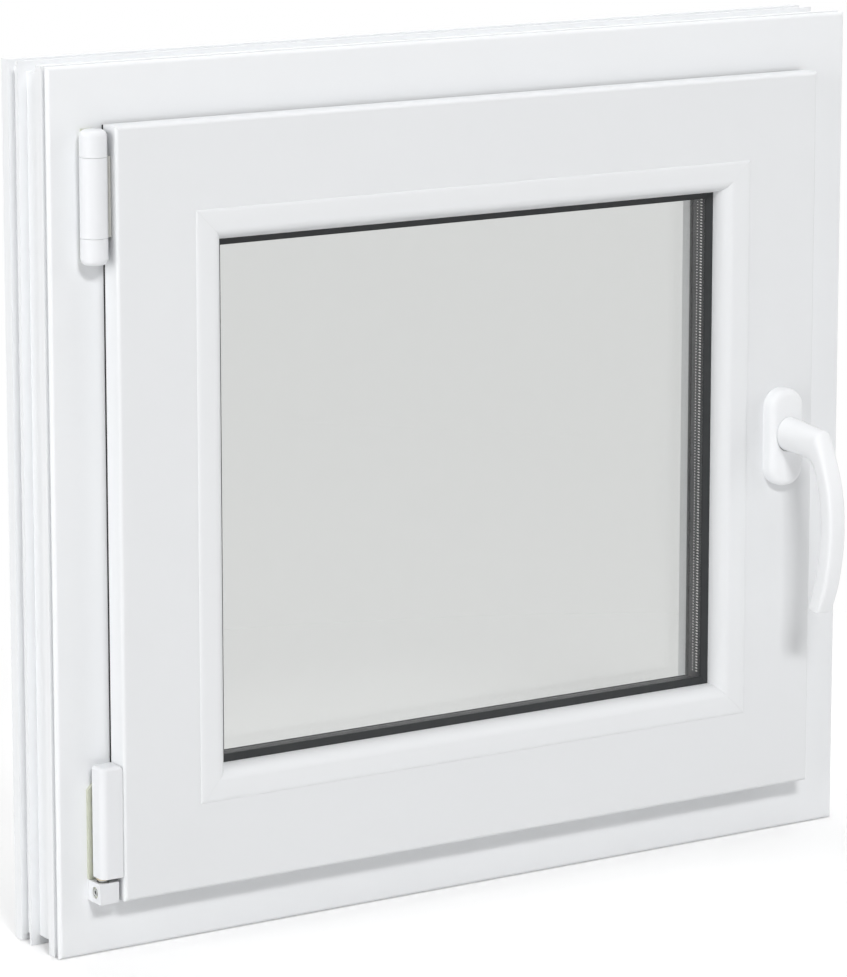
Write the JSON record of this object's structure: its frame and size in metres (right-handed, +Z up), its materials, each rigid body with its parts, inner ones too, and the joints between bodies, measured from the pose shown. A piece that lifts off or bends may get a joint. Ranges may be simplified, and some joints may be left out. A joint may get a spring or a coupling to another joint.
{
  "type": "casement window",
  "caption": "Tilt-and-turn casement window: mitred white frame and glazed sash, lever handle, stay hinge and corner bearing; the sash turns inward or tilts.",
  "frame": {"origin": "middle of the underside of the sill, on the frame's second rib, where the window stands in its wall opening", "axes": "+X to the right as seen from the room, +Y from the room to the weather side, +Z up"},
  "size_m": [0.65, 0.1578, 0.6],
  "materials": {
    "pvc_white": "satin extruded PVC-U",
    "gasket_black": "matt EPDM",
    "cover_white": "smooth moulded covers",
    "handle_white": "white powder coat on die-cast zinc",
    "zinc": "zinc-plated steel",
    "bearing_zinc": "passivated die-cast zinc",
    "stay_steel": "grey-beige passivated steel",
    "galvanised": "galvanised sheet steel",
    "brass": "turned brass",
    "spacer": "mill aluminium",
    "edge_seal": "sealant",
    "block": "moulded setting blocks",
    "glass": "clear float glass"
  },
  "bodies": {
    "frame": {"frame_bar_left": "pvc_white", "frame_bar_right": "pvc_white", "frame_bar_top": "pvc_white", "frame_bar_bottom": "pvc_white", "frame_steels": "galvanised", "frame_gasket": "gasket_black", "drain_caps": "pvc_white", "strikers": "zinc", "striker_screws": "zinc", "stay_bearing": "bearing_zinc", "stay_bearing_screws": "zinc", "stay_cap_lower": "cover_white", "stay_cap_upper": "cover_white", "corner_bearing": "bearing_zinc", "corner_bearing_screws": "zinc", "corner_bearing_cover": "cover_white", "tilt_pin": "zinc"},
    "pivot_post": {"pivot_post": "zinc", "pivot_collar": "brass"},
    "sash": {"sash_bar_left": "pvc_white", "bead_left": "pvc_white", "sash_bar_right": "pvc_white", "bead_right": "pvc_white", "sash_bar_top": "pvc_white", "bead_top": "pvc_white", "sash_bar_bottom": "pvc_white", "bead_bottom": "pvc_white", "sash_steels": "galvanised", "sash_gasket": "gasket_black", "inner_glazing_gasket": "gasket_black", "outer_glazing_gasket": "gasket_black", "inner_pane": "glass", "outer_pane": "glass", "spacer_bar": "spacer", "edge_seal": "edge_seal", "setting_blocks": "block", "sash_hinge": "zinc", "sash_hinge_screws": "zinc", "sash_hinge_cover": "cover_white", "handle_base": "cover_white", "handle_rosette": "handle_white", "handle_screws": "zinc", "gearbox_case": "zinc", "faceplate_lock_side": "zinc", "faceplate_top": "zinc", "faceplate_bottom": "zinc", "faceplate_screws": "zinc", "corner_drives": "zinc"},
    "handle": {"handle_lever": "handle_white", "spindle": "zinc", "gearbox_pinion": "bearing_zinc"},
    "lock_rod": {"lock_rod": "zinc", "lock_cams": "zinc"},
    "top_rod": {"top_rod": "zinc"},
    "bottom_rod": {"bottom_rod": "zinc"},
    "stay_pin": {"stay_pin": "zinc"},
    "stay_arm": {"stay_arm": "stay_steel", "stay_arm_cover": "cover_white", "stay_guide_pin": "zinc"}
  },
  "joints": [
    {"name": "sash_tilt", "type": "hinge", "parent": "frame", "child": "pivot_post", "pos_m": [-0.297, -0.0213, 0.046], "axis": [-1, 0, 0], "range_deg": [-10, 0]},
    {"name": "sash_turn", "type": "hinge", "parent": "pivot_post", "child": "sash", "pos_m": [-0.297, -0.0213, 0.09], "axis": [0, 0, -1], "range_deg": [0, 90]},
    {"name": "stay_pin_turn", "type": "hinge", "parent": "frame", "child": "stay_pin", "pos_m": [-0.297, -0.0213, 0.5145], "axis": [0, 0, -1], "range_deg": [0, 90]},
    {"name": "stay_swing", "type": "hinge", "parent": "stay_pin", "child": "stay_arm", "pos_m": [-0.297, -0.0213, 0.5145], "axis": [0, 0, -1], "range_deg": [0, 26.5]},
    {"name": "handle_turn", "type": "hinge", "parent": "sash", "child": "handle", "pos_m": [0.256, -0.0319, 0.3], "axis": [0, -1, 0], "range_deg": [-180, 0]},
    {"name": "lock_rod_slide", "type": "slide", "parent": "sash", "child": "lock_rod", "axis": [0, 0, 1], "range_m": [0, 0.02042]},
    {"name": "top_rod_slide", "type": "slide", "parent": "sash", "child": "top_rod", "axis": [-1, 0, 0], "range_m": [0, 0.02042]},
    {"name": "bottom_rod_slide", "type": "slide", "parent": "sash", "child": "bottom_rod", "axis": [1, 0, 0], "range_m": [0, 0.02042]}
  ],
  "couplings": [
    {"joint": "stay_pin_turn", "follows": "sash_turn", "ratio": 1},
    {"joint": "stay_swing", "follows": "sash_tilt", "ratio": -2.62},
    {"joint": "lock_rod_slide", "follows": "handle_turn", "m_per_rad": -0.0065},
    {"joint": "top_rod_slide", "follows": "handle_turn", "m_per_rad": -0.0065},
    {"joint": "bottom_rod_slide", "follows": "handle_turn", "m_per_rad": -0.0065}
  ]
}
